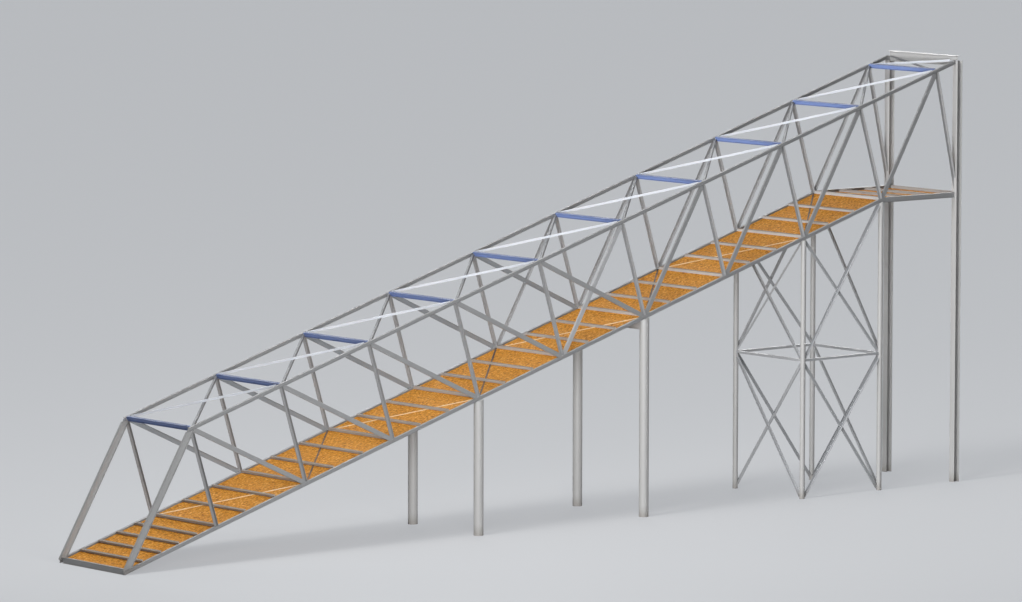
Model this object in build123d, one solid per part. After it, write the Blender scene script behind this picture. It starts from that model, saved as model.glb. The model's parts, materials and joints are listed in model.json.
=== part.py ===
from build123d import *
import math
import os

# Inclined steel truss bridge with a floor between its two side trusses, in millimetres.
# X runs up the bridge in plan, Y to the left of someone walking up, Z is up.
# The origin is the middle of the tail end beam's underside, on the ground.

# Layout of the trusses
BAY = 3000.0
RISE = 930.0
INCLINED_BAYS = 9
PLATFORM_LENGTH = 3000.0
TRUSS_HEIGHT = 2850.0
TRUSS_SPACING = 2900.0
CROSSED_BAY = 5

# Stations of the supports, counted in bays from the tail
LOWER_TRESTLE_STATION = 4
UPPER_TRESTLE_STATION = 6
TOWER_STATIONS = (8, 9)
TOWER_RING_HEIGHT = 4000.0

# Bottom and platform chords, I section
CHORD_DEPTH = 100.0
CHORD_WIDTH = 75.0
CHORD_WEB = 5.0
CHORD_FLANGE = 8.0

# Top chords, I section
TOP_CHORD_DEPTH = 100.0
TOP_CHORD_WIDTH = 75.0
TOP_CHORD_WEB = 5.0
TOP_CHORD_FLANGE = 8.0

# Inclined end posts, I section
END_POST_DEPTH = 180.0
END_POST_WIDTH = 90.0
END_POST_WEB = 6.0
END_POST_FLANGE = 8.0

# Posts, equal angle: one leg in the plane of its truss, the other standing to the right
POST_LEG = 85.0
POST_THICKNESS = 8.0

# Falling diagonals and the right truss's rising ones, channel with its web outside
DIAGONAL_DEPTH = 126.0
DIAGONAL_WIDTH = 53.0
DIAGONAL_WEB = 6.0
DIAGONAL_FLANGE = 9.0

# The left truss's rising diagonals, equal angle with one leg outside
LIGHT_DIAGONAL_LEG = 75.0
LIGHT_DIAGONAL_THICKNESS = 7.0

# Top cross beams, I section
TOP_BEAM_DEPTH = 125.0
TOP_BEAM_WIDTH = 75.0
TOP_BEAM_WEB = 5.5
TOP_BEAM_FLANGE = 9.5

# Tail end beam, I section
TAIL_BEAM_DEPTH = 160.0
TAIL_BEAM_WIDTH = 82.0
TAIL_BEAM_WEB = 5.0
TAIL_BEAM_FLANGE = 7.4

# Floor beams at the truss nodes, I section
FLOOR_BEAM_DEPTH = 140.0
FLOOR_BEAM_WIDTH = 73.0
FLOOR_BEAM_WEB = 4.7
FLOOR_BEAM_FLANGE = 6.9

# Floor joists between the nodes, I section
JOIST_DEPTH = 126.0
JOIST_WIDTH = 74.0
JOIST_WEB = 5.0
JOIST_FLANGE = 8.4
TAIL_BAY_PANELS = 5
BAY_PANELS = 3

# Floor pans, pressed plate trays laid upside down on shelves along the beams' webs
PAN_DEPTH = 35.0
PAN_PLATE = 5.0
PAN_GAP = 3.0
SHELF_REACH = 25.0
SHELF_THICKNESS = 6.0

# Floor bracing, flat bar laid on the pans
FLOOR_BAR_WIDTH = 50.0
FLOOR_BAR_THICKNESS = 8.0

# Crossed bracing, equal angle
BRACE_LEG = 65.0
BRACE_THICKNESS = 6.0

# Round trestle columns
TRESTLE_DIAMETER = 273.0
TRESTLE_WALL = 8.0

# Beam between the heads of the upper trestle, I section
TRESTLE_BEAM_DEPTH = 250.0
TRESTLE_BEAM_WIDTH = 125.0
TRESTLE_BEAM_WEB = 6.0
TRESTLE_BEAM_FLANGE = 9.0
TRESTLE_BEAM_DROP = 240.0

# Round tower legs and the square tube struts of their ring
LEG_DIAMETER = 152.0
LEG_WALL = 6.0
STRUT_SIZE = 70.0
STRUT_WALL = 4.0

# Closing plate on the head of a round column, and the gap left round a round column
LID = 12.0
ROUND_GAP = 0.3

# Head columns and head beam, H sections
HEAD_COLUMN_DEPTH = 200.0
HEAD_COLUMN_WIDTH = 200.0
HEAD_COLUMN_WEB = 6.5
HEAD_COLUMN_FLANGE = 10.0
HEAD_BEAM_DEPTH = 290.0
HEAD_BEAM_WIDTH = 220.0
HEAD_BEAM_WEB = 8.0
HEAD_BEAM_FLANGE = 12.0

# Play of a beam's tongue between the flanges of a chord
TONGUE_PLAY = 3.0

# Length added to each end of a bar before it is cut to its seats
OVERRUN = 400.0

# Worked out from the sizes above
SLOPE = math.atan2(RISE, BAY)
PANEL = math.hypot(BAY, RISE)
ALONG = Vector(math.cos(SLOPE), 0, math.sin(SLOPE))
ACROSS = Vector(-math.sin(SLOPE), 0, math.cos(SLOPE))
UPHILL = Vector(1, 0, 0)
LEFTWARD = Vector(0, 1, 0)
UP = Vector(0, 0, 1)
SIDE = TRUSS_SPACING / 2
TAIL_NODE = Vector(0, 0, TAIL_BEAM_DEPTH / 2)
CREST = TAIL_NODE + ALONG * (INCLINED_BAYS * PANEL)
KINK_UP = (ACROSS + UP).normalized()
KINK_ALONG = (ALONG + UPHILL).normalized()
HEAD_X = CREST.X + PLATFORM_LENGTH
HEAD_RUN = (HEAD_X + TRUSS_HEIGHT * math.sin(SLOPE)) / math.cos(SLOPE)
FLOOR_BEAM_LIFT = (FLOOR_BEAM_DEPTH - CHORD_DEPTH) / 2
JOIST_LIFT = (JOIST_DEPTH - CHORD_DEPTH) / 2
HEAD_HEIGHT = TAIL_NODE.Z + HEAD_RUN * math.sin(SLOPE) + TRUSS_HEIGHT * math.cos(SLOPE)
HEAD_BEAM_REACH = SIDE - HEAD_COLUMN_WEB / 2

# From the back of a post's leg to its centre of weight, and on to the leg's edge
POST_AREA = POST_THICKNESS * (2 * POST_LEG - POST_THICKNESS)
POST_BACK = POST_THICKNESS * (POST_LEG**2 + POST_LEG * POST_THICKNESS - POST_THICKNESS**2) / (2 * POST_AREA)
POST_EDGE = POST_LEG - POST_BACK

# Distance from the middle at which the flanges of the beams between the trusses end
COPE_LINE = SIDE - max(END_POST_WIDTH / 2, POST_EDGE)


def at(run, lift=0.0, side=0.0):
    """Point of the slope: run up it, lift square to it, side to the left."""
    return TAIL_NODE + ALONG * run + ACROSS * lift + LEFTWARD * side


def on_platform(run, lift=0.0, side=0.0):
    """Point of the platform: run beyond the crest, lift above its chord line."""
    return CREST + UPHILL * run + UP * lift + LEFTWARD * side


def keep(point, direction):
    """Cutting plane that keeps what lies beyond it in the given direction."""
    return Plane(origin=point, z_dir=direction)


def between_walls(reach):
    """Two upright planes along the bridge that keep what lies within reach of its middle."""
    return [keep(LEFTWARD * (way * reach), LEFTWARD * -way) for way in (-1, 1)]


def i_section(depth, width, web, flange):
    """I or H section, its width along x and its depth along y."""
    pocket_x = (width + web) / 4
    pocket = Rectangle((width - web) / 2, depth - 2 * flange)
    return Rectangle(width, depth) - Pos(pocket_x, 0) * pocket - Pos(-pocket_x, 0) * pocket


def channel_section(depth, width, web, flange):
    """Channel with its web on the -x side and its depth along y."""
    return Rectangle(width, depth) - Pos(web / 2, 0) * Rectangle(width - web, depth - 2 * flange)


def angle_section(leg, thickness):
    """Equal angle, its legs along the -x side and the -y side of a square."""
    room = Rectangle(leg - thickness, leg - thickness)
    return Rectangle(leg, leg) - Pos(thickness / 2, thickness / 2) * room


def post_section():
    """Angle round its centre of weight, its corner towards +x and -y."""
    shift = POST_LEG / 2 - POST_BACK
    return Pos(-shift, shift) * Rot(0, 0, 90) * angle_section(POST_LEG, POST_THICKNESS)


def square_tube(size, wall):
    """Square hollow section."""
    return Rectangle(size, size) - Rectangle(size - 2 * wall, size - 2 * wall)


def bar(section, start, end, depth_direction, cuts, overrun=OVERRUN):
    """Section run from start to end, its y along depth_direction, then cut by the planes."""
    axis = (end - start).normalized()
    foot = Plane(origin=start - axis * overrun, x_dir=depth_direction.cross(axis), z_dir=axis)
    piece = extrude(foot * section, amount=(end - start).length + 2 * overrun)
    for cut in cuts:
        piece = split(piece, bisect_by=cut, keep=Keep.TOP)
    return piece


def in_truss_normal(axis):
    """Direction square to a bar in the plane of its truss."""
    return Vector(-axis.Z, 0, axis.X)


def truss_bar(section, start, end, cuts):
    """Bar in the plane of a side truss, its section's -x side facing right."""
    return bar(section, start, end, in_truss_normal((end - start).normalized()), cuts)


# Planes that the bars of a side truss are cut to
OVER_BOTTOM_CHORD = keep(at(0, CHORD_DEPTH / 2), ACROSS)
UNDER_BOTTOM_CHORD = keep(at(0, -CHORD_DEPTH / 2), -ACROSS)
UNDER_TOP_CHORD = keep(at(0, TRUSS_HEIGHT - TOP_CHORD_DEPTH / 2), -ACROSS)
OVER_PLATFORM_CHORD = keep(on_platform(0, CHORD_DEPTH / 2), UP)
BEFORE_HEAD_COLUMN = keep(Vector(HEAD_X - HEAD_COLUMN_DEPTH / 2, 0, 0), -UPHILL)
BEFORE_HEAD_BEAM_WEB = keep(Vector(HEAD_X - HEAD_BEAM_WEB / 2, 0, 0), -UPHILL)
BEFORE_HEAD_BEAM = keep(Vector(HEAD_X - HEAD_BEAM_WIDTH / 2, 0, 0), -UPHILL)
ABOVE_GROUND = keep(Vector(0, 0, 0), UP)

END_POST_AXIS = (at(PANEL, TRUSS_HEIGHT) - at(0)).normalized()
END_POST_NORMAL = in_truss_normal(END_POST_AXIS)
END_POST_OUTSIDE = at(0) + END_POST_NORMAL * (END_POST_DEPTH / 2)
UNDER_END_POST = keep(at(0) - END_POST_NORMAL * (END_POST_DEPTH / 2), -END_POST_NORMAL)

LAST_POST_FOOT = on_platform(PLATFORM_LENGTH)
LAST_POST_HEAD = at((INCLINED_BAYS + 1) * PANEL, TRUSS_HEIGHT)
LAST_POST_NORMAL = in_truss_normal((LAST_POST_HEAD - LAST_POST_FOOT).normalized())
BEFORE_LAST_POST = keep(LAST_POST_FOOT + LAST_POST_NORMAL * POST_EDGE, LAST_POST_NORMAL)


def beyond_post(station):
    return keep(at(station * PANEL + POST_BACK), ALONG)


def before_post(station):
    return keep(at(station * PANEL - POST_EDGE), -ALONG)


def bottom_chord():
    """Inclined chord, its toe cut square behind the end post and level where it meets the ground."""
    section = i_section(CHORD_DEPTH, CHORD_WIDTH, CHORD_WEB, CHORD_FLANGE)
    pitch = math.atan2(TRUSS_HEIGHT, PANEL)
    toe = CHORD_DEPTH / 2 / math.tan(pitch) - END_POST_DEPTH / 2 / math.sin(pitch)
    cuts = [keep(at(toe), ALONG), ABOVE_GROUND, keep(CREST, -KINK_ALONG)]
    return [truss_bar(section, at(0, 0, -SIDE), CREST - LEFTWARD * SIDE, cuts)]


def platform_chord():
    """Level chord from the mitre at the crest to the face of the head column."""
    section = i_section(CHORD_DEPTH, CHORD_WIDTH, CHORD_WEB, CHORD_FLANGE)
    cuts = [keep(CREST, KINK_ALONG), BEFORE_HEAD_COLUMN]
    end = on_platform(PLATFORM_LENGTH, 0, -SIDE)
    return [truss_bar(section, on_platform(0, 0, -SIDE), end, cuts)]


def top_chord():
    """Chord over the end post, cut flush with its outside, run on to the face of the head column."""
    section = i_section(TOP_CHORD_DEPTH, TOP_CHORD_WIDTH, TOP_CHORD_WEB, TOP_CHORD_FLANGE)
    start = at(PANEL, TRUSS_HEIGHT, -SIDE)
    end = at(HEAD_RUN, TRUSS_HEIGHT, -SIDE)
    cuts = [keep(END_POST_OUTSIDE, -END_POST_NORMAL), BEFORE_HEAD_COLUMN]
    return [truss_bar(section, start, end, cuts)]


def end_post():
    """Heavy leaning post from the tail of the bottom chord to the start of the top chord."""
    section = i_section(END_POST_DEPTH, END_POST_WIDTH, END_POST_WEB, END_POST_FLANGE)
    start = at(0, 0, -SIDE)
    end = at(PANEL, TRUSS_HEIGHT, -SIDE)
    return [truss_bar(section, start, end, [OVER_BOTTOM_CHORD, UNDER_TOP_CHORD])]


def posts(way):
    """Angle posts between the chords of one truss, and the last one, which leans on the head column."""
    section = post_section()
    to_side = LEFTWARD * (way * SIDE)
    pieces = []
    for station in range(1, INCLINED_BAYS + 1):
        cuts = [OVER_BOTTOM_CHORD, UNDER_TOP_CHORD]
        if station == 1:
            cuts.append(UNDER_END_POST)
        foot = at(station * PANEL)
        head = at(station * PANEL, TRUSS_HEIGHT)
        pieces.append(truss_bar(section, foot + to_side, head + to_side, cuts))
    cuts = [OVER_PLATFORM_CHORD, UNDER_TOP_CHORD, BEFORE_HEAD_COLUMN]
    pieces.append(truss_bar(section, LAST_POST_FOOT + to_side, LAST_POST_HEAD + to_side, cuts))
    return pieces


def diagonal_channel():
    return channel_section(DIAGONAL_DEPTH, DIAGONAL_WIDTH, DIAGONAL_WEB, DIAGONAL_FLANGE)


def falling_diagonals():
    """Channels that fall from the top chord to the next bottom node, in the lower bays."""
    section = diagonal_channel()
    pieces = []
    for station in range(1, CROSSED_BAY + 1):
        cuts = [OVER_BOTTOM_CHORD, UNDER_TOP_CHORD, beyond_post(station), before_post(station + 1)]
        if station == 1:
            cuts.append(UNDER_END_POST)
        head = at(station * PANEL, TRUSS_HEIGHT, -SIDE)
        foot = at((station + 1) * PANEL, 0, -SIDE)
        pieces.append(truss_bar(section, head, foot, cuts))
    return pieces


def rising_diagonals(section):
    """Bars that rise to the next top node, in the upper bays; the first meets the last falling one."""
    channel_head = at(CROSSED_BAY * PANEL, TRUSS_HEIGHT)
    channel_foot = at((CROSSED_BAY + 1) * PANEL, 0)
    channel_normal = in_truss_normal((channel_foot - channel_head).normalized())
    pieces = []
    for station in range(CROSSED_BAY, INCLINED_BAYS + 1):
        foot = at(station * PANEL, 0, -SIDE)
        head = at((station + 1) * PANEL, TRUSS_HEIGHT, -SIDE)
        cuts = [UNDER_TOP_CHORD, beyond_post(station)]
        if station < INCLINED_BAYS:
            cuts += [OVER_BOTTOM_CHORD, before_post(station + 1)]
        else:
            cuts += [OVER_PLATFORM_CHORD, BEFORE_LAST_POST]
        if station == CROSSED_BAY:
            for outward in (-channel_normal, channel_normal):
                edge = keep(channel_head + outward * (DIAGONAL_DEPTH / 2), outward)
                pieces.append(truss_bar(section, foot, head, cuts + [edge]))
        else:
            pieces.append(truss_bar(section, foot, head, cuts))
    return pieces


def crosswise(centre, up):
    """Sketch plane at the middle of a cross beam, its y along up and its normal to the left."""
    return Plane(origin=centre, x_dir=up.cross(LEFTWARD), z_dir=LEFTWARD)


def coped_beam(centre, up, size, chord_clear, chord_web, lift=0.0):
    """I beam from truss to truss, lifted above the chords' middle: flanges stop at the cope line,
    the web's tongues reach the chord webs."""
    depth, width, web, flange = size
    tongue_depth = min(depth - 2 * flange - 2 * abs(lift), chord_clear - 2 * TONGUE_PLAY)
    section = i_section(depth, width, web, flange)
    body = extrude(crosswise(centre + up * lift, up) * section, amount=COPE_LINE, both=True)
    tongue = Rectangle(web, tongue_depth)
    return body + extrude(crosswise(centre, up) * tongue, amount=SIDE - chord_web / 2, both=True)


BOTTOM_CLEAR = CHORD_DEPTH - 2 * CHORD_FLANGE
TOP_CLEAR = TOP_CHORD_DEPTH - 2 * TOP_CHORD_FLANGE


def shelf(centre, up, web, drop, way):
    """Strip on a beam's web that carries the edge of a floor pan, its top drop below the node."""
    middle = Pos(-way * (web + SHELF_REACH) / 2, -drop - SHELF_THICKNESS / 2)
    strip = middle * Rectangle(SHELF_REACH, SHELF_THICKNESS)
    return extrude(crosswise(centre, up) * strip, amount=COPE_LINE, both=True)


def top_cross_beams():
    size = (TOP_BEAM_DEPTH, TOP_BEAM_WIDTH, TOP_BEAM_WEB, TOP_BEAM_FLANGE)
    pieces = []
    for station in range(1, INCLINED_BAYS + 2):
        centre = at(station * PANEL, TRUSS_HEIGHT)
        pieces.append(coped_beam(centre, ACROSS, size, TOP_CLEAR, TOP_CHORD_WEB))
    return pieces


def tail_end_beam():
    """Upright beam on the ground, with a shelf under the lower edge of the first floor pan."""
    size = (TAIL_BEAM_DEPTH, TAIL_BEAM_WIDTH, TAIL_BEAM_WEB, TAIL_BEAM_FLANGE)
    beam = coped_beam(TAIL_NODE, UP, size, BOTTOM_CLEAR, CHORD_WEB)
    drop = PAN_DEPTH * math.cos(SLOPE) - tail_pan_start() * math.sin(SLOPE)
    return [beam + shelf(TAIL_NODE, UP, TAIL_BEAM_WEB, drop, 1)]


def tail_pan_start():
    """Run at which the first pan starts, clear of the upright web."""
    return (TAIL_BEAM_WEB / 2 + PAN_GAP) / math.cos(SLOPE)


def floor_cross_beams():
    """Beams at the bottom nodes, flush with the chords' undersides; the one at the crest stands
    halfway between slope and plumb."""
    size = (FLOOR_BEAM_DEPTH, FLOOR_BEAM_WIDTH, FLOOR_BEAM_WEB, FLOOR_BEAM_FLANGE)
    pieces = []
    for station in range(1, INCLINED_BAYS + 1):
        at_crest = station == INCLINED_BAYS
        up = KINK_UP if at_crest else ACROSS
        lean = SLOPE / 2 if at_crest else 0.0
        drop = PAN_DEPTH / math.cos(lean) + SHELF_REACH * math.tan(lean)
        if at_crest:
            drop += FLOOR_BEAM_WEB / 2 * math.tan(lean)
        node = at(station * PANEL)
        beam = coped_beam(node, up, size, BOTTOM_CLEAR, CHORD_WEB, FLOOR_BEAM_LIFT)
        for way in (-1, 1):
            beam += shelf(node, up, FLOOR_BEAM_WEB, drop, way)
        pieces.append(beam)
    return pieces


def head_end_beam():
    """Last beam of the platform, between the webs of the head columns."""
    centre = on_platform(PLATFORM_LENGTH)
    section = i_section(FLOOR_BEAM_DEPTH, FLOOR_BEAM_WIDTH, FLOOR_BEAM_WEB, FLOOR_BEAM_FLANGE)
    raised = crosswise(centre + UP * FLOOR_BEAM_LIFT, UP)
    beam = extrude(raised * section, amount=HEAD_BEAM_REACH, both=True)
    return [beam + shelf(centre, UP, FLOOR_BEAM_WEB, PAN_DEPTH, -1)]


def joist_runs(station):
    """Runs, within one bay, of the joists between its node beams."""
    panels = TAIL_BAY_PANELS if station == 0 else BAY_PANELS
    return [place / panels for place in range(1, panels)]


def joist(centre, up):
    """Light floor beam, flush with the chords' undersides, with a shelf on each side."""
    size = (JOIST_DEPTH, JOIST_WIDTH, JOIST_WEB, JOIST_FLANGE)
    beam = coped_beam(centre, up, size, BOTTOM_CLEAR, CHORD_WEB, JOIST_LIFT)
    for way in (-1, 1):
        beam += shelf(centre, up, JOIST_WEB, PAN_DEPTH, way)
    return beam


def floor_joists():
    """Light beams between the node beams of every bay."""
    pieces = []
    for station in range(INCLINED_BAYS):
        for share in joist_runs(station):
            pieces.append(joist(at((station + share) * PANEL), ACROSS))
    for share in joist_runs(INCLINED_BAYS):
        pieces.append(joist(on_platform(share * PLATFORM_LENGTH), UP))
    return pieces


PAN_HALF_WIDTH = SIDE - CHORD_WIDTH / 2 - PAN_GAP
KINK_GAP = PAN_GAP + PAN_DEPTH * math.tan(SLOPE / 2)


def pan(point, start, end, along, up):
    """Floor pan from run start to run end: a flat plate with its four edges turned down."""
    length = end - start
    frame = Plane(origin=point((start + end) / 2), x_dir=along, z_dir=up)
    outer = extrude(frame * Rectangle(length, 2 * PAN_HALF_WIDTH), amount=-PAN_DEPTH)
    rim = Rectangle(length - 2 * PAN_PLATE, 2 * (PAN_HALF_WIDTH - PAN_PLATE))
    hollow = extrude(frame.offset(-PAN_PLATE) * rim, amount=-PAN_DEPTH)
    return outer - hollow


def panel_edges(station):
    """Shares of a bay at which its floor panels start and end."""
    return [0.0] + joist_runs(station) + [1.0]


def floor_panels():
    """Pans of the inclined floor, between the webs of the beams."""
    pieces = []
    for station in range(INCLINED_BAYS):
        edges = panel_edges(station)
        for low, high in zip(edges[:-1], edges[1:]):
            low_web = FLOOR_BEAM_WEB if low == 0.0 else JOIST_WEB
            high_web = FLOOR_BEAM_WEB if high == 1.0 else JOIST_WEB
            start = (station + low) * PANEL + low_web / 2 + PAN_GAP
            end = (station + high) * PANEL - high_web / 2 - PAN_GAP
            if station + low == 0:
                start = tail_pan_start()
            if station + high == INCLINED_BAYS:
                end = INCLINED_BAYS * PANEL - FLOOR_BEAM_WEB / 2 - KINK_GAP
            pieces.append(pan(at, start, end, ALONG, ACROSS))
    return pieces


def platform_panels():
    """Pans of the level floor; the last is notched round the head columns."""
    pieces = []
    edges = panel_edges(INCLINED_BAYS)
    for low, high in zip(edges[:-1], edges[1:]):
        low_clear = FLOOR_BEAM_WEB / 2 + KINK_GAP if low == 0.0 else JOIST_WEB / 2 + PAN_GAP
        high_clear = (FLOOR_BEAM_WEB if high == 1.0 else JOIST_WEB) / 2 + PAN_GAP
        start = low * PLATFORM_LENGTH + low_clear
        end = high * PLATFORM_LENGTH - high_clear
        piece = pan(on_platform, start, end, UPHILL, UP)
        if high == 1.0:
            for way in (-1, 1):
                piece -= column_notch(way)
        pieces.append(piece)
    return pieces


def column_notch(way):
    """Room in the last pan for one head column, right through the pan's depth."""
    length = HEAD_COLUMN_DEPTH + 2 * PAN_GAP
    width = HEAD_COLUMN_WIDTH + 2 * PAN_GAP
    middle = on_platform(PLATFORM_LENGTH, -PAN_DEPTH / 2, way * SIDE)
    return Pos(middle) * Box(length, width, 2 * PAN_DEPTH)


def floor_bracing():
    """Flat bars that zig-zag over the floor from node to node, cut at each beam's web."""
    section = Pos(0, FLOOR_BAR_THICKNESS / 2) * Rectangle(FLOOR_BAR_WIDTH, FLOOR_BAR_THICKNESS)
    walls = between_walls(SIDE - CHORD_WEB / 2)
    pieces = []
    for station in range(INCLINED_BAYS + 1):
        way = -1 if station % 2 == 0 else 1
        level = station == INCLINED_BAYS
        up = UP if level else ACROSS
        along = UPHILL if level else ALONG
        bay_length = PLATFORM_LENGTH if level else PANEL
        origin = CREST if level else at(station * PANEL)
        start = origin + LEFTWARD * (way * SIDE)
        end = origin + along * bay_length - LEFTWARD * (way * SIDE)
        edges = panel_edges(station)
        for low, high in zip(edges[:-1], edges[1:]):
            low_web = FLOOR_BEAM_WEB if low == 0.0 else JOIST_WEB
            high_web = FLOOR_BEAM_WEB if high == 1.0 else JOIST_WEB
            cuts = walls + [
                keep(origin + along * (low * bay_length + low_web / 2), along),
                keep(origin + along * (high * bay_length - high_web / 2), -along),
            ]
            if level:
                cuts.append(BEFORE_HEAD_COLUMN)
                cuts.append(keep(CREST + KINK_ALONG * (FLOOR_BEAM_WEB / 2), KINK_ALONG))
            if station + high == INCLINED_BAYS:
                cuts.append(keep(CREST - KINK_ALONG * (FLOOR_BEAM_WEB / 2), -KINK_ALONG))
            if station + low == 0:
                cuts.append(keep(Vector(TAIL_BEAM_WEB / 2, 0, 0), UPHILL))
            pieces.append(bar(section, start, end, up, cuts, 0.0))
    return pieces


def brace(start, end, normal, way, edge, flat_cuts, standing_cuts):
    """Angle whose flat leg lies on one side of a plane and whose other leg stands on that side,
    at the edge towards the cross product of normal and axis (edge 1) or away from it (edge -1)."""
    flat = Pos(0, way * BRACE_THICKNESS / 2) * Rectangle(BRACE_LEG, BRACE_THICKNESS)
    shift = edge * (BRACE_LEG - BRACE_THICKNESS) / 2
    standing = Pos(shift, way * BRACE_LEG / 2) * Rectangle(BRACE_THICKNESS, BRACE_LEG)
    return bar(flat, start, end, normal, flat_cuts) + bar(standing, start, end, normal, standing_cuts)


def top_bracing(way):
    """Angles across the top of every bay, above the chord plane (way 1) or below it (way -1)."""
    cope_walls = between_walls(COPE_LINE)
    pieces = []
    for station in range(1, INCLINED_BAYS + 2):
        low = station * PANEL
        last = station > INCLINED_BAYS
        high = HEAD_RUN if last else low + PANEL
        wall = max(TOP_CHORD_WEB, HEAD_COLUMN_WEB) if last else TOP_CHORD_WEB
        flat_cuts = between_walls(SIDE - wall / 2) + [keep(at(low + TOP_BEAM_WEB / 2), ALONG)]
        standing_cuts = cope_walls + [keep(at(low + TOP_BEAM_WIDTH / 2), ALONG)]
        if last:
            flat_cuts.append(BEFORE_HEAD_BEAM_WEB)
            standing_cuts.append(BEFORE_HEAD_BEAM)
        else:
            flat_cuts.append(keep(at(high - TOP_BEAM_WEB / 2), -ALONG))
            standing_cuts.append(keep(at(high - TOP_BEAM_WIDTH / 2), -ALONG))
        start = at(low, TRUSS_HEIGHT, way * SIDE)
        end = at(high, TRUSS_HEIGHT, -way * SIDE)
        pieces.append(brace(start, end, ACROSS, way, -1, flat_cuts, standing_cuts))
    return pieces


def round_column(station, diameter, wall, way):
    """Round tube from the ground to the underside of a chord, its head closed by a sloping plate."""
    node = at(station * PANEL, 0, way * SIDE)
    solid = round_bar(node, diameter / 2, 0.0)
    return [solid - round_bar(node, diameter / 2 - wall, LID)]


def round_bar(node, radius, below):
    """Round bar under a node, its head cut the given depth below the chord's underside."""
    ground = Pos(node.X, node.Y, 0)
    rod = ground * Cylinder(radius, node.Z, align=(Align.CENTER, Align.CENTER, Align.MIN))
    rod = split(rod, bisect_by=keep(at(0, -CHORD_DEPTH / 2 - below), -ACROSS), keep=Keep.TOP)
    if node.X + radius > CREST.X:
        level = keep(on_platform(0, -CHORD_DEPTH / 2 - below), -UP)
        rod = split(rod, bisect_by=level, keep=Keep.TOP)
    return rod


def upper_trestle_beam():
    """Beam between the heads of the upper trestle's columns, its ends shaped to them."""
    node = at(UPPER_TRESTLE_STATION * PANEL)
    section = i_section(TRESTLE_BEAM_DEPTH, TRESTLE_BEAM_WIDTH, TRESTLE_BEAM_WEB, TRESTLE_BEAM_FLANGE)
    beam = extrude(crosswise(node - UP * TRESTLE_BEAM_DROP, UP) * section, amount=SIDE, both=True)
    for way in (-1, 1):
        beam -= Pos(node.X, way * SIDE, node.Z) * Cylinder(TRESTLE_DIAMETER / 2 + ROUND_GAP, 2 * node.Z)
    return [beam]


def tower_corner(station, way, height):
    """Point on the axis of a tower leg."""
    return Vector(station * BAY, way * SIDE, height)


def tower_faces():
    """The four sides of the tower: two corners as (station, way), the outward direction, and the
    edge, upper (1) or lower (-1), at which the legs of its outer and its inner braces stand."""
    low, high = TOWER_STATIONS
    return [
        ((low, -1), (high, -1), -LEFTWARD, {1: -1, -1: -1}),
        ((low, 1), (high, 1), LEFTWARD, {1: 1, -1: 1}),
        ((low, -1), (low, 1), -UPHILL, {1: -1, -1: 1}),
        ((high, -1), (high, 1), UPHILL, {1: 1, -1: 1}),
    ]


def tower_ring_struts():
    """Square tubes from leg to leg at mid height, their ends shaped to the legs."""
    pieces = []
    for first, second, *_ in tower_faces():
        start = tower_corner(*first, TOWER_RING_HEIGHT)
        end = tower_corner(*second, TOWER_RING_HEIGHT)
        strut = bar(square_tube(STRUT_SIZE, STRUT_WALL), start, end, UP, [], 0.0)
        for corner in (start, end):
            strut -= Pos(corner) * Cylinder(LEG_DIAMETER / 2 + ROUND_GAP, 2 * STRUT_SIZE)
        pieces.append(strut)
    return pieces


def tower_ceiling(first, second):
    """Plane under which the upper braces of one side of the tower end."""
    if first[0] == second[0] == INCLINED_BAYS:
        return keep(CREST - KINK_UP * (CHORD_DEPTH / 2), -KINK_UP)
    return UNDER_BOTTOM_CHORD


def tower_braces(way):
    """Angles of the tower's four sides, below and above the ring: the outer ones or the inner ones."""
    clear = LEG_DIAMETER / 2 + ROUND_GAP
    ring_bottom = TOWER_RING_HEIGHT - STRUT_SIZE / 2
    ring_top = TOWER_RING_HEIGHT + STRUT_SIZE / 2
    pieces = []
    for first, second, outward, edges in tower_faces():
        run = (tower_corner(*second, 0) - tower_corner(*first, 0)).normalized()
        legs = [
            keep(tower_corner(*first, 0) + run * clear, run),
            keep(tower_corner(*second, 0) - run * clear, -run),
        ]
        low_corner, high_corner = (first, second) if way == 1 else (second, first)
        node_height = at(high_corner[0] * PANEL).Z
        under_ring = keep(Vector(0, 0, ring_bottom), -UP)
        over_ring = keep(Vector(0, 0, ring_top), UP)
        tiers = (
            (0.0, TOWER_RING_HEIGHT, [ABOVE_GROUND, under_ring]),
            (TOWER_RING_HEIGHT, node_height, [over_ring, tower_ceiling(first, second)]),
        )
        for low, high, level_cuts in tiers:
            start = tower_corner(*low_corner, low)
            end = tower_corner(*high_corner, high)
            edge = edges[way] if outward.cross(end - start).Z > 0 else -edges[way]
            cuts = legs + level_cuts
            pieces.append(brace(start, end, outward, way, edge, cuts, cuts))
    return pieces


def head_column(way):
    """H column up to the middle of the head beam's end, its inner half cut down to carry the beam."""
    foot = Plane(origin=Vector(HEAD_X, way * SIDE, 0), x_dir=LEFTWARD, z_dir=UP)
    section = i_section(HEAD_COLUMN_DEPTH, HEAD_COLUMN_WIDTH, HEAD_COLUMN_WEB, HEAD_COLUMN_FLANGE)
    inward = Align.MAX if way > 0 else Align.MIN
    beam_end = Vector(HEAD_X, way * HEAD_BEAM_REACH, HEAD_HEIGHT)
    room = Box(HEAD_COLUMN_DEPTH, SIDE, HEAD_BEAM_DEPTH, align=(Align.CENTER, inward, Align.CENTER))
    return [extrude(foot * section, amount=HEAD_HEIGHT) - Pos(beam_end) * room]


def head_beam():
    """H beam between the webs of the head columns, on the seats cut into their inner halves."""
    section = i_section(HEAD_BEAM_DEPTH, HEAD_BEAM_WIDTH, HEAD_BEAM_WEB, HEAD_BEAM_FLANGE)
    centre = Vector(HEAD_X, 0, HEAD_HEIGHT)
    return [extrude(crosswise(centre, UP) * section, amount=HEAD_BEAM_REACH, both=True)]


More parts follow.
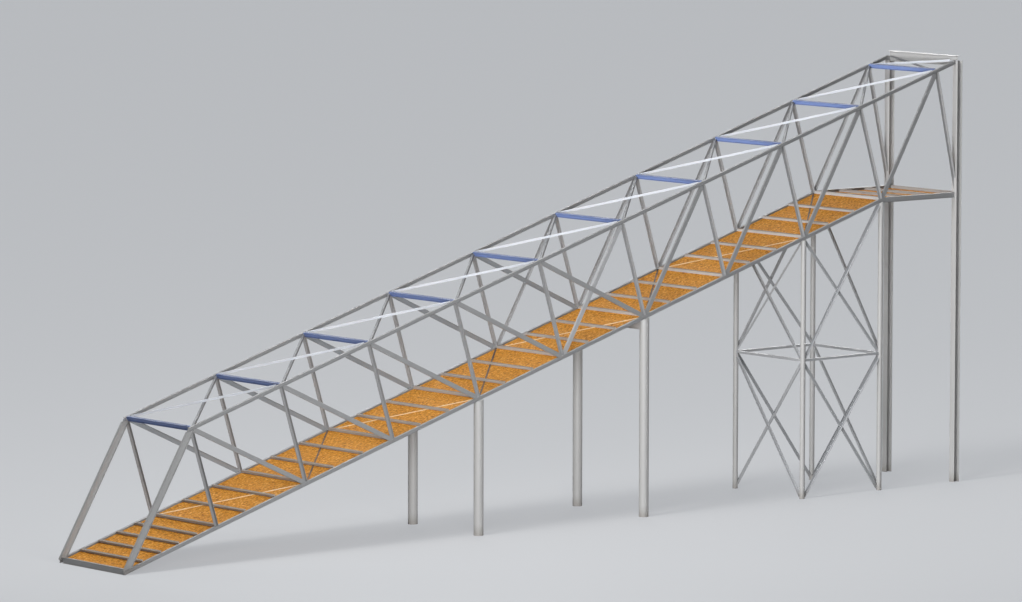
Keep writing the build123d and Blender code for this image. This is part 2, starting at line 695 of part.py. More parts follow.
def write(name, pieces):
    """Write one node from its solids."""
    solids = [solid for piece in pieces for solid in piece.solids()]
    export_step(Compound(solids) if len(solids) > 1 else solids[0], f"parts/{name}.step")


def mirrored(pieces):
    return [mirror(piece, about=Plane.XZ) for piece in pieces]


def write_pair(name, pieces):
    """Write a node of the right truss and its mirror image on the left."""
    write(f"right_{name}", pieces)
    write(f"left_{name}", mirrored(pieces))


def main():
    os.makedirs("parts", exist_ok=True)
    write_pair("bottom_chord", bottom_chord())
    write_pair("platform_chord", platform_chord())
    write_pair("top_chord", top_chord())
    write_pair("end_post", end_post())
    write("right_posts", posts(-1))
    write("left_posts", posts(1))
    write_pair("falling_diagonals", falling_diagonals())
    light_angle = angle_section(LIGHT_DIAGONAL_LEG, LIGHT_DIAGONAL_THICKNESS)
    write("right_rising_diagonals", rising_diagonals(diagonal_channel()))
    write("left_rising_diagonals", mirrored(rising_diagonals(light_angle)))
    write("top_cross_beams", top_cross_beams())
    write("top_bracing_falling", top_bracing(1))
    write("top_bracing_rising", top_bracing(-1))
    write("tail_end_beam", tail_end_beam())
    write("head_end_beam", head_end_beam())
    write("floor_cross_beams", floor_cross_beams())
    write("floor_joists", floor_joists())
    write("floor_bracing", floor_bracing())
    write("floor_panels", floor_panels())
    write("platform_panels", platform_panels())
    write("upper_trestle_beam", upper_trestle_beam())
    write("tower_ring_struts", tower_ring_struts())
    trestles = (("lower", LOWER_TRESTLE_STATION), ("upper", UPPER_TRESTLE_STATION))
    for side, way in (("right", -1), ("left", 1)):
        for place, station in trestles:
            column = round_column(station, TRESTLE_DIAMETER, TRESTLE_WALL, way)
            write(f"{side}_{place}_trestle_column", column)
        for place, station in zip(("downhill", "uphill"), TOWER_STATIONS):
            write(f"{side}_{place}_tower_leg", round_column(station, LEG_DIAMETER, LEG_WALL, way))
        write(f"{side}_head_column", head_column(way))
    write("tower_outer_braces", tower_braces(1))
    write("tower_inner_braces", tower_braces(-1))
    write("head_beam", head_beam())


main()
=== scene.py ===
"""Finishes, deeper level chords, weld beads, light and camera for an inclined steel truss bridge.

Metres throughout, in the bridge's own frame: X runs up the bridge, Y to the left, Z up.
"""
import json
import math

import bpy
import numpy as np
from mathutils import Matrix, Vector


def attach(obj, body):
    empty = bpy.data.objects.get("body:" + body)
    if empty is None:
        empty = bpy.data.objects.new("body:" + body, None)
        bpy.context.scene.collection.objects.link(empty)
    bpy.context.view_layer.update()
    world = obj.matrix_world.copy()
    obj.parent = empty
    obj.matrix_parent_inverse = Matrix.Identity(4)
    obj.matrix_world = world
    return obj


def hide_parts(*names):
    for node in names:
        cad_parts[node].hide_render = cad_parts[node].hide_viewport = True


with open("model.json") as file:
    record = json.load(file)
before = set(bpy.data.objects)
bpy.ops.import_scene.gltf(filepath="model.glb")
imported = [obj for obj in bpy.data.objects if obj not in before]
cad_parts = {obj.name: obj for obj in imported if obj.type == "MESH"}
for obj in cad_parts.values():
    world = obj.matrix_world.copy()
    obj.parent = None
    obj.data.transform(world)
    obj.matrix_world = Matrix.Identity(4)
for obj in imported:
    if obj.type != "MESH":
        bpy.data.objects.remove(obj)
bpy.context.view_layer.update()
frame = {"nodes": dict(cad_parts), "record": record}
nodes = frame["nodes"]
slot_of = {piece["node"]: piece["material_slot"] for piece in frame["record"]["subparts"]}

# Length of one bay in plan, and a place between the crossed bay's rising diagonal and the next
BAY = 3.0
PAST_CROSSED_BAY = 17.6

# Paints, as the linear share of light that they send back
FRAME_GREY = (0.318, 0.322, 0.330)
# Painted light: the far falling diagonals' grey is a bluer copy of the frame grey, offsetting the orange
# light bounced onto them from the floor
FAR_DIAGONAL_GREY = (0.313, 0.340, 0.368)
END_POST_GREY = (0.385, 0.388, 0.392)
# The floor steel's grey, made lighter as painted light against the shade under its flanges
FLOOR_STEEL_GREY = (0.535, 0.545, 0.560)
# Painted shade, brown, on the tops of the floor steel
FLOOR_TOP_SHADE_BROWN = (0.250, 0.220, 0.192)
SUPPORT_GREY = (0.470, 0.471, 0.470)
BRACE_GREY = (0.400, 0.412, 0.430)
CROSSED_BAR_GREY = (0.460, 0.465, 0.480)
TIE_GREY = (0.215, 0.222, 0.235)
BRACING_WHITE = (0.780, 0.825, 0.895)
BEAM_BLUE = (0.215, 0.300, 0.600)
SPLASH_BROWN = (0.190, 0.160, 0.130)
DASH_DARK = (0.075, 0.060, 0.060)
DASH_PALE = (0.850, 0.660, 0.420)
GRIT_ORANGE = (0.580, 0.232, 0.013)
GRIT_BROWN = (0.230, 0.080, 0.008)
GRIT_PALE = (0.800, 0.440, 0.110)
GRIT_STOPS = [(0.38, GRIT_BROWN), (0.47, GRIT_ORANGE), (0.54, GRIT_ORANGE), (0.63, GRIT_PALE)]

# Spread between light and dark, in the clouds and in the grain of each surface
CLOUDING = 0.10
WHITE_CLOUDING = 0.04
GRIT_CLOUDING = 0.14
PAINT_GRAINING = 0.05
FLOOR_GRAINING = 0.16
BAR_GRAINING = 0.12

# Share of the colour that dust, splashes and scuffs take, and the share of painted shade taken off the blue
# beams' tops
DUST_COVER = 0.22
SPLASH_COVER = 0.45
SCUFF_COVER = 0.35
BLUE_TOP_SHADE = 0.55

# Dust is this grey with this share of the paint in it; the grain shifts a splash's edge this far
DUST_GREY = 0.25
PAINT_IN_DUST = 0.6
SPLASH_FRINGE = 0.12

# Roughness of clean paint, of the floor's steel, of its bars and of the grit
SATIN = 0.40
FLOOR_SATIN = 0.42
BAR_DULLNESS = 0.50
GRIT_DULLNESS = 0.72

# Noise patterns: clouds to the metre, finer detail, and how strong that detail is
PAINT_CLOUDS = (0.9, 4.0, 0.6)
PAINT_GRAIN = (38.0, 3.0, 0.6)
PAINT_DUST = (2.4, 5.0, 0.62)
ORANGE_PEEL = (170.0, 2.0, 0.5)
FLOOR_CLOUDS = (1.3, 4.0, 0.6)
FLOOR_GRAIN = (42.0, 3.0, 0.6)
# Patches in the painted shade on the tops of the floor steel
FLOOR_SHADE_PATCHES = (6.0, 4.0, 0.65)
GRIT_COARSE = (15.0, 2.0, 0.6)
GRIT_FINE = (110.0, 2.0, 0.7)
GRIT_CLOUDS = (1.1, 3.0, 0.6)
BAR_GRAIN = (45.0, 3.0, 0.6)
BAR_SCUFFS = (7.0, 4.0, 0.65)

# Cells to the metre in the ripple of weld beads and in the grit
RIPPLE_CELLS = 190.0
GRIT_CELLS = 240.0

# Where a pattern starts and where it is full: how level a face is, strength of noise, metres up
# The first pair marks the tops that get dust, and painted shade where a paint has it
DUST_AND_SHADE_TOPS = (0.55, 0.95)
DUST_PATCHES = (0.35, 0.75)
# How level a face of the floor steel is where its painted shade starts and is full
FLOOR_SHADED_TOPS = (0.45, 0.85)
SCUFF_PATCHES = (0.52, 0.62)
SPLASH_HEIGHT = (0.04, 0.42)

# Depth of the relief of each surface
PAINT_RELIEF = 0.0006
BEAD_RELIEF = 0.002
WORN_RELIEF = 0.0008
GRIT_RELIEF = 0.0016

# Refractive index of paint and of the grit's binder
PAINT_INDEX = 1.48
BINDER_INDEX = 1.45

# Sockets of a node that mixes two colours: share, first, second and the mixed colour
MIX_SHARE = 0
MIX_FIRST = 6
MIX_SECOND = 7
MIX_RESULT = 2


def opaque(colour):
    """A colour with its fourth part, full cover."""
    return (*colour, 1.0)


class Wire:
    """What a node puts out. Arithmetic on a number adds Math nodes to its finish."""

    def __init__(self, finish, socket):
        self.finish = finish
        self.socket = socket

    def math(self, operation, *values):
        """One Math node with these values or wires on its sockets."""
        places = dict(enumerate(values))
        return self.finish.node("ShaderNodeMath", {"operation": operation}, places)

    def __add__(self, other):
        return self.math("ADD", self, other)

    def __radd__(self, other):
        return self.math("ADD", other, self)

    def __sub__(self, other):
        return self.math("SUBTRACT", self, other)

    def __rsub__(self, other):
        return self.math("SUBTRACT", other, self)

    def __mul__(self, other):
        return self.math("MULTIPLY", self, other)

    def __rmul__(self, other):
        return self.math("MULTIPLY", other, self)

    def __truediv__(self, other):
        return self.math("DIVIDE", self, other)

    def __mod__(self, other):
        return self.math("MODULO", self, other)

    def above(self, level):
        """One where the number is over the level, else nought."""
        return self.math("GREATER_THAN", self, level)

    def ramp(self, low, high):
        """Nought at low, one at high, in a smooth step between."""
        settings = {"interpolation_type": "SMOOTHSTEP"}
        return self.finish.node("ShaderNodeMapRange", settings, {0: self, 1: low, 2: high})

    def blend(self, other, share):
        """Sum of this number and another one, which has this share of it."""
        return (1.0 - share) * self + share * other

    def swing(self, spread):
        """A noise between nought and one made to swing round nought, this far in all."""
        return (self - 0.5) * spread


class Shader:
    """The node tree of a material, a lamp or the world, built up from wires."""

    def __init__(self, owner):
        owner.use_nodes = True
        self.tree = owner.node_tree
        self.tree.nodes.clear()

    def node(self, kind, settings=None, inputs=None, output=0):
        """Add a node, set it, feed its sockets with values or wires, and return one output as a wire."""
        made = self.tree.nodes.new(kind)
        for name, value in (settings or {}).items():
            if name == "stops":
                self.set_stops(made.color_ramp, value)
            else:
                setattr(made, name, value)
        for name, value in (inputs or {}).items():
            if isinstance(value, Wire):
                self.tree.links.new(value.socket, made.inputs[name])
            else:
                made.inputs[name].default_value = value
        return Wire(self, made.outputs[output]) if len(made.outputs) else None

    @staticmethod
    def set_stops(ramp, stops):
        """Give a colour ramp its stops, as pairs of place and colour."""
        while len(ramp.elements) < len(stops):
            ramp.elements.new(1.0)
        for element, (place, colour) in zip(ramp.elements, stops):
            element.position = place
            element.color = opaque(colour)

    def seen(self):
        """One for rays that show the background: from the camera, off polish or through glass."""
        kinds = ("Is Camera Ray", "Is Glossy Ray", "Is Transmission Ray")
        straight, glossy, through = (self.node("ShaderNodeLightPath", output=kind) for kind in kinds)
        return straight + glossy + through


class Finish(Shader):
    """The finish of a surface, patterned by the object's own coordinates."""

    def __init__(self, name):
        self.material = bpy.data.materials.new(name)
        super().__init__(self.material)
        self.place = self.node("ShaderNodeTexCoord", output="Object")

    def noise(self, scale, detail, roughness):
        """Cloudy noise between nought and one."""
        inputs = {"Vector": self.place, "Scale": scale, "Detail": detail, "Roughness": roughness}
        return self.node("ShaderNodeTexNoise", None, inputs)

    def cells(self, scale):
        """Distance to the nearest of scattered points, so many points to the metre."""
        return self.node("ShaderNodeTexVoronoi", None, {"Vector": self.place, "Scale": scale})

    def axis(self, name):
        """One of the object's coordinates in metres."""
        return self.node("ShaderNodeSeparateXYZ", None, {0: self.place}, name)

    def facing_up(self):
        """One on a face that looks up, nought on a wall, less than nought below."""
        normal = self.node("ShaderNodeNewGeometry", output="Normal")
        return self.node("ShaderNodeSeparateXYZ", None, {0: normal}, "Z")

    def colours(self, share, first, second):
        """Mix of two colours, each a triple or a wire."""
        given = {MIX_SHARE: share, MIX_FIRST: first, MIX_SECOND: second}
        for place in (MIX_FIRST, MIX_SECOND):
            if not isinstance(given[place], Wire):
                given[place] = opaque(given[place])
        return self.node("ShaderNodeMix", {"data_type": "RGBA"}, given, MIX_RESULT)

    def shade(self, colour, factor):
        """A colour made lighter or darker by a wire of factors round one."""
        settings = {"operation": "SCALE"}
        return self.node("ShaderNodeVectorMath", settings, {0: colour, "Scale": factor})

    def bump(self, height, depth):
        """Normal of a surface whose relief is a height from nought to one times a depth in metres."""
        inputs = {"Strength": 1.0, "Distance": depth, "Height": height}
        return self.node("ShaderNodeBump", None, inputs, "Normal")

    def close(self, colour, roughness, normal, index=PAINT_INDEX):
        """End the finish in one shader."""
        inputs = {"Base Color": colour, "Roughness": roughness, "Normal": normal, "IOR": index}
        surface = self.node("ShaderNodeBsdfPrincipled", None, inputs)
        self.node("ShaderNodeOutputMaterial", None, {"Surface": surface})
        return self.material


def brushed_paint(name, paint, clouding=CLOUDING, ripple=0.0, paler_below=None, top_shade=0.0):
    """Satin paint on steel: cloudy shade with that spread, dust on what faces up, dried splashes near
    the ground, fine orange-peel relief, and on weld beads a ripple of that many metres. Paler below is
    a place along the bridge and the paler paint of what lies below it. Top shade is how much darker the
    tops are painted, as painted shade."""
    finish = Finish(name)
    clouds = finish.noise(*PAINT_CLOUDS)
    grain = finish.noise(*PAINT_GRAIN)
    tops = finish.facing_up().ramp(*DUST_AND_SHADE_TOPS)
    dust = tops * finish.noise(*PAINT_DUST).ramp(*DUST_PATCHES)
    low = 1.0 - (finish.axis("Z") + grain * SPLASH_FRINGE).ramp(*SPLASH_HEIGHT)
    plain = paint
    # Paler paint for what lies below the given place along the bridge
    if paler_below:
        place, pale = paler_below
        plain = finish.colours(finish.axis("X").above(place), pale, paint)
    dust_colour = tuple(DUST_GREY + PAINT_IN_DUST * part for part in paint)
    dusty = finish.colours(dust * DUST_COVER, plain, dust_colour)
    splashed = finish.colours(low * SPLASH_COVER, dusty, SPLASH_BROWN)
    # Painted shade: faces that look up are made darker by the last term, to offset the light that falls on
    # them
    shade = 1.0 + clouds.swing(clouding) + grain.swing(PAINT_GRAINING) - tops * top_shade
    roughness = SATIN + clouds * 0.10 + dust * 0.2 + low * 0.2
    relief = finish.noise(*ORANGE_PEEL).blend(grain, 0.5)
    if ripple:
        relief = relief.blend(finish.cells(RIPPLE_CELLS), 0.8)
    normal = finish.bump(relief, ripple or PAINT_RELIEF)
    return finish.close(finish.shade(splashed, shade), roughness, normal)


def shaded_top_floor_paint(name):
    """Paint of the steel between the floor plates, with brown painted shade and a duller finish on its tops.
    """
    finish = Finish(name)
    clouds = finish.noise(*FLOOR_CLOUDS)
    grain = finish.noise(*FLOOR_GRAIN)
    # Painted shade: tops are darkened towards brown in patches, to offset the light that falls on them
    shaded_tops = finish.facing_up().ramp(*FLOOR_SHADED_TOPS) * (0.80 + finish.noise(*FLOOR_SHADE_PATCHES) * 0.30)
    paint = finish.colours(shaded_tops, FLOOR_STEEL_GREY, FLOOR_TOP_SHADE_BROWN)
    roughness = FLOOR_SATIN + clouds * 0.10 + shaded_tops * 0.25
    normal = finish.bump(finish.noise(*ORANGE_PEEL).blend(grain, 0.5), WORN_RELIEF)
    return finish.close(finish.shade(paint, 1.0 + grain.swing(FLOOR_GRAINING)), roughness, normal)


def grit_coating(name):
    """Anti-slip coating: orange binder with brown and pale grains of two sizes."""
    finish = Finish(name)
    coarse = finish.noise(*GRIT_COARSE)
    fine = finish.noise(*GRIT_FINE)
    clouds = finish.noise(*GRIT_CLOUDS)
    speckle = finish.node("ShaderNodeValToRGB", {"stops": GRIT_STOPS}, {0: coarse.blend(fine, 0.25)})
    relief = (1.0 - finish.cells(GRIT_CELLS)).blend(fine, 0.4)
    colour = finish.shade(speckle, 1.0 + clouds.swing(GRIT_CLOUDING))
    roughness = GRIT_DULLNESS + fine * 0.16
    return finish.close(colour, roughness, finish.bump(relief, GRIT_RELIEF), BINDER_INDEX)


def striped_paint(name, bay):
    """Paint of the floor's zig-zag bars: dark in the even bays, pale in the odd ones."""
    finish = Finish(name)
    odd = ((finish.axis("X") / bay) % 2.0).above(1.0)
    grain = finish.noise(*BAR_GRAIN)
    scuffs = finish.noise(*BAR_SCUFFS).ramp(*SCUFF_PATCHES)
    dashes = finish.colours(odd, DASH_DARK, DASH_PALE)
    worn = finish.colours(scuffs * SCUFF_COVER, dashes, GRIT_ORANGE)
    colour = finish.shade(worn, 1.0 + grain.swing(BAR_GRAINING))
    return finish.close(colour, BAR_DULLNESS + grain * 0.2, finish.bump(grain, WORN_RELIEF))


def assign(material, *names):
    """Put one finish on whole CAD nodes."""
    for name in names:
        slots = nodes[name].material_slots
        if not slots:
            nodes[name].data.materials.append(material)
        for slot in slots:
            slot.material = material


def both_sides(*names):
    """Names of the nodes on the right and on the left."""
    return [f"{side}_{name}" for side in ("right", "left") for name in names]


def paint_nodes():
    """Give every CAD node its finish."""
    chords_and_posts = both_sides("bottom_chord", "platform_chord", "top_chord", "posts")
    assign(brushed_paint("frame_paint", FRAME_GREY),
           *chords_and_posts, "right_falling_diagonals", "left_rising_diagonals")
    # The right rising diagonals are paler below the place past the crossed bay
    assign(brushed_paint("paler_rise_paint", FRAME_GREY, paler_below=(PAST_CROSSED_BAY, CROSSED_BAR_GREY)),
           "right_rising_diagonals")
    # Painted light: a bluer copy of the frame paint, against the orange light bounced from the floor
    assign(brushed_paint("far_diagonal_paint", FAR_DIAGONAL_GREY), "left_falling_diagonals")
    assign(brushed_paint("end_post_paint", END_POST_GREY), *both_sides("end_post"))
    assign(shaded_top_floor_paint("floor_steel_paint"),
           "tail_end_beam", "head_end_beam", "floor_cross_beams", "floor_joists")
    columns = both_sides("lower_trestle_column", "upper_trestle_column", "downhill_tower_leg",
                         "uphill_tower_leg", "head_column")
    assign(brushed_paint("support_paint", SUPPORT_GREY), *columns, "head_beam", "upper_trestle_beam")
    assign(brushed_paint("brace_paint", BRACE_GREY),
           "tower_ring_struts", "tower_outer_braces", "tower_inner_braces")
    assign(brushed_paint("tie_paint", TIE_GREY), "top_bracing_rising")
    assign(brushed_paint("white_paint", BRACING_WHITE, WHITE_CLOUDING), "top_bracing_falling")
    # The blue beams get painted shade on their tops
    assign(brushed_paint("blue_paint", BEAM_BLUE, top_shade=BLUE_TOP_SHADE), "top_cross_beams")
    assign(striped_paint("floor_bar_paint", BAY), "floor_bracing")
    assign(grit_coating("floor_coating"), "floor_panels", "platform_panels")


# Steps to the metre: points that fall on the same step, a hundredth of a millimetre, are merged
POINT_STEPS = 1e5


def added(name, data):
    """A new object with this mesh, lamp or lens, in the scene."""
    holder = bpy.data.objects.new(name, data)
    bpy.context.scene.collection.objects.link(holder)
    return holder


def shaped(name, points, faces, material):
    """A new piece with this shape and finish."""
    mesh = bpy.data.meshes.new(name)
    mesh.from_pydata(points, [], faces)
    mesh.materials.append(material)
    return added(name, mesh)


def merged_mesh(name):
    """A CAD node's points without doubles, and its triangles as rows of three places in them."""
    mesh = nodes[name].data
    points = np.empty(len(mesh.vertices) * 3)
    mesh.vertices.foreach_get("co", points)
    corners = np.empty(len(mesh.loops), dtype=np.int64)
    mesh.loops.foreach_get("vertex_index", corners)
    grid = np.round(points.reshape(-1, 3) * POINT_STEPS).astype(np.int64)
    _, first, same = np.unique(grid, axis=0, return_index=True, return_inverse=True)
    faces = same.reshape(-1)[corners].reshape(-1, 3)
    return points.reshape(-1, 3)[first], faces


# The platform's chords: half the depth added, the part that leans, and its lean for each metre up
LEVEL_CHORD_GROWTH = 0.025
MITRE_REACH = 0.10
MITRE_LEAN = 0.152


def level_chords(material):
    """The platform's chords at the depth that the photograph shows: the CAD chord's points with
    the upper half raised and the lower half let down by the same length, along the mitre."""
    for name in both_sides("platform_chord"):
        points, faces = merged_mesh(name)
        middle = (points[:, 2].min() + points[:, 2].max()) / 2
        growth = np.sign(points[:, 2] - middle) * LEVEL_CHORD_GROWTH
        mitre = points[:, 0] < points[:, 0].min() + MITRE_REACH
        points[:, 0] -= np.where(mitre, growth * MITRE_LEAN, 0.0)
        points[:, 2] += growth
        piece = shaped(name.replace("platform", "level"), points, faces, material)
        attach(piece, "root")
        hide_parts(name)


# Weld beads where the bars meet: radius, points round a ring, distance between the rings along a
# bead, and the fewest and most rings in one
BEAD_RADIUS = 0.0040
BEAD_SIDES = 6
BEAD_RING = 0.014
FEWEST_RINGS = 3
MOST_RINGS = 36

# Share by which a bead swells, turn of the swell from ring to ring, and share left at its ends
BEAD_SWELL = 0.14
SWELL_TURN = 2.6
BEAD_END = 0.35

# Nodes that lie loose, length of seams that get a bead, distance of contact, and step of the search
UNWELDED = ("floor_panels", "platform_panels")
SHORTEST_SEAM = 0.015
LONGEST_SEAM = 0.60
CONTACT = 0.0006
SEARCH_STEP = 0.005

# Cosine of the least turn of a sharp edge, a length that counts as nought, and millimetres to the metre
SHARP = math.cos(math.radians(25.0))
NOUGHT = 1e-12
MILLIMETRES = 1e3

# Directions that a bead's cross section is set out from, the second one where a run is steep
STEEP = 0.9
UPWARDS = np.array([[0.0, 0.0, 1.0]])
UPHILL = np.array([[1.0, 0.0, 0.0]])


def unit(vectors):
    """The vectors, each with a length of one."""
    return vectors / np.maximum(np.linalg.norm(vectors, axis=1), NOUGHT)[:, None]


def lengths(runs):
    """Distance between the two ends of each run."""
    return np.linalg.norm(runs[:, 1] - runs[:, 0], axis=1)


def solids_of(name):
    """A node's solids, each as the node's points and the solid's own triangles: faces that share a
    point, or are joined by a chain of such faces, take the lowest label among their points."""
    points, faces = merged_mesh(name)
    labels = np.arange(len(points))
    while True:
        lowest = labels[faces].min(axis=1)
        spread = labels.copy()
        np.minimum.at(spread, faces.reshape(-1), np.repeat(lowest, 3))
        spread = spread[spread]
        if (spread == labels).all():
            break
        labels = spread
    owner = labels[faces[:, 0]]
    return [(points, faces[owner == label]) for label in np.unique(owner)]


def sharp_edges(points, faces):
    """Ends of the edges between two faces that turn sharply, where the length suits a bead."""
    first, second, third = (points[faces[:, place]] for place in range(3))
    normals = unit(np.cross(second - first, third - first))
    sides = np.sort(np.concatenate([faces[:, [0, 1]], faces[:, [1, 2]], faces[:, [2, 0]]]), axis=1)
    face_of = np.tile(np.arange(len(faces)), 3)
    order = np.lexsort((sides[:, 1], sides[:, 0]))
    sides = sides[order]
    face_of = face_of[order]
    twin = (sides[:-1] == sides[1:]).all(axis=1)
    bend = (normals[face_of[:-1]] * normals[face_of[1:]]).sum(axis=1)
    ends = points[sides[:-1][twin & (bend < SHARP)]]
    length = lengths(ends)
    return ends[(length > SHORTEST_SEAM) & (length < LONGEST_SEAM)]


def samples_along(ends):
    """Points every few millimetres along each edge, with the number of the edge of each."""
    counts = np.maximum(np.ceil(lengths(ends) / SEARCH_STEP).astype(int) + 1, 2)
    edge = np.repeat(np.arange(len(ends)), counts)
    step = np.arange(len(edge)) - np.repeat(np.cumsum(counts) - counts, counts)
    share = step / np.repeat(counts - 1, counts)
    return ends[edge, 0] + (ends[edge, 1] - ends[edge, 0]) * share[:, None], edge


def lies_on(samples, points, faces):
    """True for samples that lie within the contact distance of a triangle's plane and inside its
    three sides."""
    corners = points[faces]
    normals = unit(np.cross(corners[:, 1] - corners[:, 0], corners[:, 2] - corners[:, 0]))
    height = np.einsum("pfk,fk->pf", samples[:, None] - corners[None, :, 0], normals)
    inside = np.abs(height) < CONTACT
    for place in range(3):
        side = corners[:, (place + 1) % 3] - corners[:, place]
        inward = unit(np.cross(normals, side))
        reach = np.einsum("pfk,fk->pf", samples[:, None] - corners[None, :, place], inward)
        inside &= reach > -CONTACT
    return inside.any(axis=1)


def touching_samples(samples, place, solids, boxes):
    """True for samples of the solid at one place in the list that lie on any other solid."""
    touching = np.zeros(len(samples), dtype=bool)
    low, high = boxes[place]
    near = ((boxes[:, 0] <= high + CONTACT) & (boxes[:, 1] >= low - CONTACT)).all(axis=1)
    near[place] = False
    for other in np.flatnonzero(near):
        low, high = boxes[other]
        within = ((samples > low - CONTACT) & (samples < high + CONTACT)).all(axis=1)
        rest = np.flatnonzero(within & ~touching)
        if len(rest):
            touching[rest] = lies_on(samples[rest], *solids[other][1:])
    return touching


def unbroken_runs(samples, edge, touching):
    """First and last sample of each unbroken stretch of touching samples on one edge."""
    joined = edge[1:] == edge[:-1]
    before = np.r_[False, touching[:-1] & joined]
    after = np.r_[touching[1:] & joined, False]
    runs = np.stack([samples[touching & ~before], samples[touching & ~after]], axis=1)
    return runs[lengths(runs) > SHORTEST_SEAM]


def without_doubles(runs):
    """The runs, each once, where two share both ends to the millimetre."""
    ends = np.round(runs * MILLIMETRES).astype(int)
    swapped = (ends[:, 0] > ends[:, 1])[:, 0]
    ends[swapped] = ends[swapped][:, ::-1]
    _, first = np.unique(ends.reshape(-1, 6), axis=0, return_index=True)
    return runs[first]


def seams():
    """Straight runs where a short sharp edge of one solid lies on a face of another, by slot name."""
    solids = []
    for name in nodes.keys():
        if name not in UNWELDED:
            solids += [(name, *solid) for solid in solids_of(name)]
    corners = [points[faces].reshape(-1, 3) for _, points, faces in solids]
    boxes = np.array([(cloud.min(axis=0), cloud.max(axis=0)) for cloud in corners])
    found = {}
    for place, (name, points, faces) in enumerate(solids):
        samples, edge = samples_along(sharp_edges(points, faces))
        touching = touching_samples(samples, place, solids, boxes)
        if touching.any():
            runs = unbroken_runs(samples, edge, touching)
            found.setdefault(slot_of[name], []).append(runs)
    return {slot: without_doubles(np.concatenate(runs)) for slot, runs in found.items()}


def beads(name, runs, material):
    """Closed tubes along straight runs. A ring's points are the run's point plus a radius times
    (cos a, sin a) in the two directions square to the run. Ring n has the bead's radius times one
    plus the swell times the sine of n turns of the swell; the two end rings are narrowed. The three
    directions are right-handed, so that the faces point outwards."""
    points = []
    faces = []
    start = 0
    counts = np.clip(np.round(lengths(runs) / BEAD_RING).astype(int) + 1, FEWEST_RINGS, MOST_RINGS)
    turn = np.linspace(0, 2 * np.pi, BEAD_SIDES, endpoint=False)
    for rings in np.unique(counts):
        chosen = runs[counts == rings]
        along = unit(chosen[:, 1] - chosen[:, 0])
        helper = np.where(np.abs(along[:, 2:]) < STEEP, UPWARDS, UPHILL)
        across = unit(np.cross(along, helper))
        upright = np.cross(along, across)
        share = np.linspace(0, 1, rings)
        radii = 1 + BEAD_SWELL * np.sin(SWELL_TURN * np.arange(rings))
        radii[[0, -1]] = BEAD_END
        radii *= BEAD_RADIUS
        centres = chosen[:, None, 0] + (chosen[:, 1] - chosen[:, 0])[:, None] * share[None, :, None]
        around = (across[:, None, None] * np.cos(turn)[None, None, :, None]
                  + upright[:, None, None] * np.sin(turn)[None, None, :, None])
        shell = centres[:, :, None] + around * radii[None, :, None, None]
        points.append(shell.reshape(-1, 3))
        place = start + np.arange(shell[..., 0].size).reshape(len(chosen), rings, BEAD_SIDES)
        here = place[:, :-1]
        ahead = place[:, 1:]
        quads = np.stack([here, np.roll(here, -1, 2), np.roll(ahead, -1, 2), ahead], axis=-1)
        faces += quads.reshape(-1, 4).tolist()
        faces += place[:, 0, ::-1].tolist() + place[:, -1].tolist()
        start += shell[..., 0].size
    piece = shaped(name, np.concatenate(points), faces, material)
    piece.data.shade_smooth()
    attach(piece, "root")


def weld_seams():
    """Painted weld beads on every seam, one piece for each paint."""
    paints = {"frame_paint": FRAME_GREY, "support_paint": SUPPORT_GREY, "brace_paint": BRACE_GREY,
              "white_paint": BRACING_WHITE, "blue_paint": BEAM_BLUE}
    for slot, runs in seams().items():
        name = slot.replace("paint", "welds")
        beads(name, runs, brushed_paint(name, paints[slot], ripple=BEAD_RELIEF))


# The place and lens of the camera, worked out from the photograph's node lines
VIEW_AZIMUTH = math.radians(-39.508)
VIEW_ELEVATION = math.radians(5.966)
VIEW_ROLL = math.radians(0.111)
VIEW_DISTANCE = 178.977
VIEW_TARGET = Vector((14.340, 0.0, 6.223))
LENS = 226.22
SENSOR_WIDTH = 36.0

# Ground and sky: reach, paints, how bright they show and the sky's even light
GROUND_REACH = 900.0
GROUND_GREY = (0.24, 0.24, 0.24)
PALE = (0.560, 0.583, 0.618)
WHITE = (1.0, 1.0, 1.0)
GROUND_PALENESS = 0.65
SKY_PALENESS = 0.84
AMBIENT = 0.10

# Broad lamps: the power that their strength is a share of, and place, target, diameter and strength
LAMP_POWER = math.pi ** 2
LAMPS = {
    "key": ((0.0, -16.0, 6.0), (14.0, 0.0, 6.0), 12.0, 0.76),
    "high": ((0.0, -3.0, 24.0), (16.0, 0.0, 7.0), 8.0, 0.50),
}

# Suns: the direction that their light comes from, softness in degrees and strength
SUNS = {
    "overhead": ((0.0, -0.05, 1.0), 45.0, 0.7),
    "tail": ((-0.9, -0.35, 0.25), 60.0, 0.28),
    "back": ((0.64, 0.77, 0.14), 36.0, 2.0),
}


def ground():
    """Pale ground that also shows pale to the camera past the lamps' reach."""
    finish = Finish("pale_ground")
    matt = finish.node("ShaderNodeBsdfDiffuse", None, {"Color": opaque(GROUND_GREY)})
    brightness = finish.seen() * GROUND_PALENESS
    glow = finish.node("ShaderNodeEmission", None, {"Color": opaque(PALE), "Strength": brightness})
    both = finish.node("ShaderNodeAddShader", None, {0: matt, 1: glow})
    finish.node("ShaderNodeOutputMaterial", None, {"Surface": both})
    reach = GROUND_REACH
    corners = [(-reach, -reach, 0), (reach, -reach, 0), (reach, reach, 0), (-reach, reach, 0)]
    plane = shaped("ground", corners, [(0, 1, 2, 3)], finish.material)


def sky():
    """Even light from all round; the camera and polished steel see it pale."""
    world = bpy.data.worlds.new("studio")
    bpy.context.scene.world = world
    shader = Shader(world)
    colour_and_strength = ((WHITE, AMBIENT), (PALE, SKY_PALENESS))
    lit, pale = (shader.node("ShaderNodeBackground", None, {"Color": opaque(colour), "Strength": strength})
                 for colour, strength in colour_and_strength)
    either = shader.node("ShaderNodeMixShader", None, {0: shader.seen(), 1: lit, 2: pale})
    shader.node("ShaderNodeOutputWorld", None, {"Surface": either})


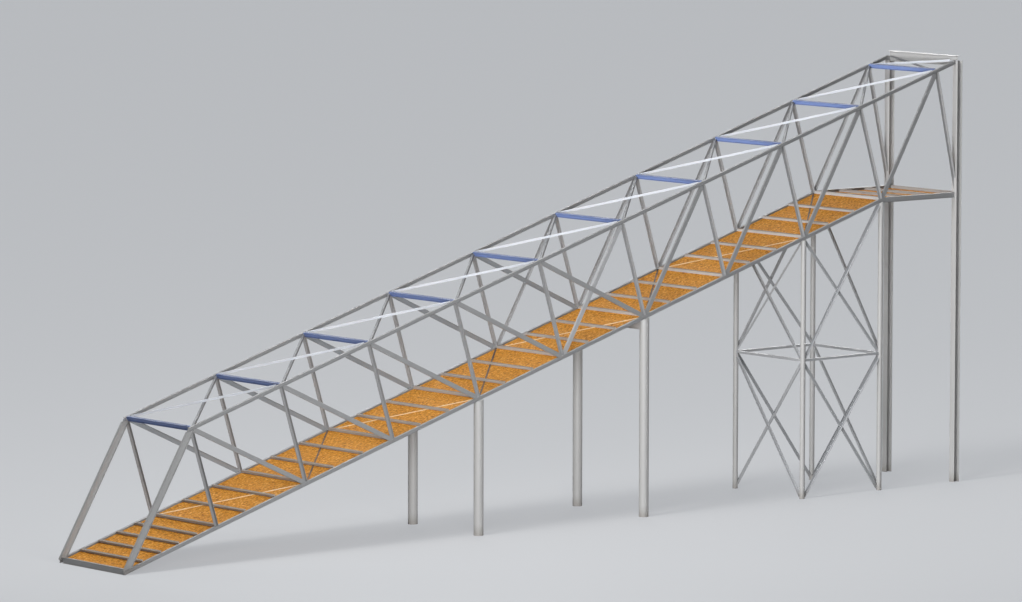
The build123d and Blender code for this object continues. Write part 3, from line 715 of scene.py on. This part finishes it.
def aimed(place, target):
    """Matrix of a lamp or camera at a place, looking at a target."""
    back = (Vector(place) - Vector(target)).normalized()
    right = Vector((0, 0, 1)).cross(back).normalized()
    up = back.cross(right)
    turn = Matrix((right, up, back)).transposed().to_4x4()
    return Matrix.Translation(place) @ turn


def steady_lamp(name, place, target, size, strength):
    """Broad lamp whose light doesn't thin out with distance, as from a very large far window."""
    lamp = bpy.data.lights.new(name, "AREA")
    lamp.shape = "DISK"
    lamp.size = size
    lamp.energy = LAMP_POWER
    shader = Shader(lamp)
    steady = shader.node("ShaderNodeLightFalloff", None, {"Strength": strength}, "Constant")
    light = shader.node("ShaderNodeEmission", None, {"Color": opaque(WHITE), "Strength": steady})
    shader.node("ShaderNodeOutputLight", None, {"Surface": light})
    added(name, lamp).matrix_world = aimed(place, target)


def sun(name, towards, softness, strength):
    """Far lamp that lights from one direction, with soft shadows."""
    lamp = bpy.data.lights.new(name, "SUN")
    lamp.angle = math.radians(softness)
    lamp.energy = strength
    added(name, lamp).matrix_world = aimed(towards, (0, 0, 0))


def camera():
    """The photograph's camera: azimuth and elevation round the target, a slight roll, a long lens."""
    level = math.cos(VIEW_ELEVATION)
    back = Vector((math.sin(VIEW_AZIMUTH) * level, -math.cos(VIEW_AZIMUTH) * level, math.sin(VIEW_ELEVATION)))
    lens = bpy.data.cameras.new("camera")
    lens.sensor_width = SENSOR_WIDTH
    lens.lens = LENS
    lens.clip_end = 4 * GROUND_REACH
    holder = added("camera", lens)
    stand = aimed(VIEW_TARGET + back * VIEW_DISTANCE, VIEW_TARGET)
    holder.matrix_world = stand @ Matrix.Rotation(VIEW_ROLL, 4, "Z")
    bpy.context.scene.camera = holder


def stage():
    """Ground, sky, lamps and camera."""
    bpy.context.scene.view_settings.view_transform = "Standard"
    ground()
    sky()
    for name, settings in LAMPS.items():
        steady_lamp(name, *settings)
    for name, settings in SUNS.items():
        sun(name, *settings)
    camera()


paint_nodes()
level_chords(brushed_paint("level_chord_paint", FRAME_GREY))
weld_seams()
stage()
